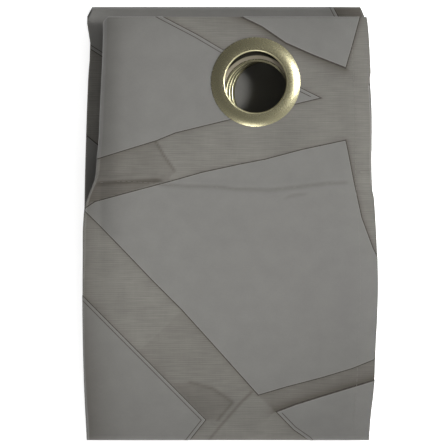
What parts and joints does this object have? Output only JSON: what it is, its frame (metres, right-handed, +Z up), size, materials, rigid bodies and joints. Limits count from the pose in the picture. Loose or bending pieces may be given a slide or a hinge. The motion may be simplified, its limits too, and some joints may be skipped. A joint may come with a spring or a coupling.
{
  "type": "eyelet curtain panel",
  "caption": "Sheer curtain panel with opaque woven blocks and metal eyelets, pleated across and folded down to a flat pack that opens leaf by leaf.",
  "frame": {"origin": "middle of the folded pack's underside, on the surface that it lies on", "axes": "+Z up through the thickness of the pack, +Y along the drop towards the header, +X across the pleats towards the panel's two side edges"},
  "size_m": [0.19, 0.2862, 0.0629],
  "materials": {
    "curtain_cloth": "matt sheer ground with opaque woven blocks",
    "hem_cloth": "matt, double turned and stitched",
    "header_tape": "stiff woven tape",
    "eyelet_metal": "satin antique nickel with a bright rolled lip"
  },
  "bodies": {
    "leaf_1": {"cloth_leaf_1": "curtain_cloth", "side_hem_front_1": "hem_cloth", "side_hem_back_1": "hem_cloth", "header_cloth": "curtain_cloth", "header_tape": "header_tape", "eyelet_front_1": "eyelet_metal", "eyelet_back_1": "eyelet_metal", "eyelet_front_2": "eyelet_metal", "eyelet_back_2": "eyelet_metal", "eyelet_front_3": "eyelet_metal", "eyelet_back_3": "eyelet_metal", "eyelet_front_4": "eyelet_metal", "eyelet_back_4": "eyelet_metal", "eyelet_front_5": "eyelet_metal", "eyelet_back_5": "eyelet_metal", "eyelet_front_6": "eyelet_metal", "eyelet_back_6": "eyelet_metal", "eyelet_front_7": "eyelet_metal", "eyelet_back_7": "eyelet_metal", "eyelet_front_8": "eyelet_metal", "eyelet_back_8": "eyelet_metal"},
    "leaf_2": {"cloth_leaf_2": "curtain_cloth", "side_hem_front_2": "hem_cloth", "side_hem_back_2": "hem_cloth"},
    "leaf_3": {"cloth_leaf_3": "curtain_cloth", "side_hem_front_3": "hem_cloth", "side_hem_back_3": "hem_cloth"},
    "leaf_4": {"cloth_leaf_4": "curtain_cloth", "side_hem_front_4": "hem_cloth", "side_hem_back_4": "hem_cloth"},
    "leaf_5": {"cloth_leaf_5": "curtain_cloth", "side_hem_front_5": "hem_cloth", "side_hem_back_5": "hem_cloth"},
    "leaf_6": {"cloth_leaf_6": "curtain_cloth", "side_hem_front_6": "hem_cloth", "side_hem_back_6": "hem_cloth"},
    "leaf_7": {"cloth_leaf_7": "curtain_cloth", "side_hem_front_7": "hem_cloth", "side_hem_back_7": "hem_cloth"},
    "leaf_8": {"cloth_leaf_8": "curtain_cloth", "side_hem_front_8": "hem_cloth", "side_hem_back_8": "hem_cloth", "bottom_hem": "hem_cloth"}
  },
  "joints": [
    {"name": "fold_1", "type": "hinge", "parent": "leaf_1", "child": "leaf_2", "pos_m": [0, -0.14325, 0.02225], "axis": [-1, 0, 0], "range_deg": [0, 180]},
    {"name": "fold_2", "type": "hinge", "parent": "leaf_2", "child": "leaf_3", "pos_m": [0, 0.14325, 0.01905], "axis": [1, 0, 0], "range_deg": [0, 180]},
    {"name": "fold_3", "type": "hinge", "parent": "leaf_3", "child": "leaf_4", "pos_m": [0, -0.14325, 0.01585], "axis": [-1, 0, 0], "range_deg": [0, 180]},
    {"name": "fold_4", "type": "hinge", "parent": "leaf_4", "child": "leaf_5", "pos_m": [0, 0.14325, 0.01265], "axis": [1, 0, 0], "range_deg": [0, 180]},
    {"name": "fold_5", "type": "hinge", "parent": "leaf_5", "child": "leaf_6", "pos_m": [0, -0.14325, 0.00945], "axis": [-1, 0, 0], "range_deg": [0, 180]},
    {"name": "fold_6", "type": "hinge", "parent": "leaf_6", "child": "leaf_7", "pos_m": [0, 0.14325, 0.00625], "axis": [1, 0, 0], "range_deg": [0, 180]},
    {"name": "fold_7", "type": "hinge", "parent": "leaf_7", "child": "leaf_8", "pos_m": [0, -0.14325, 0.00305], "axis": [-1, 0, 0], "range_deg": [0, 180]}
  ]
}
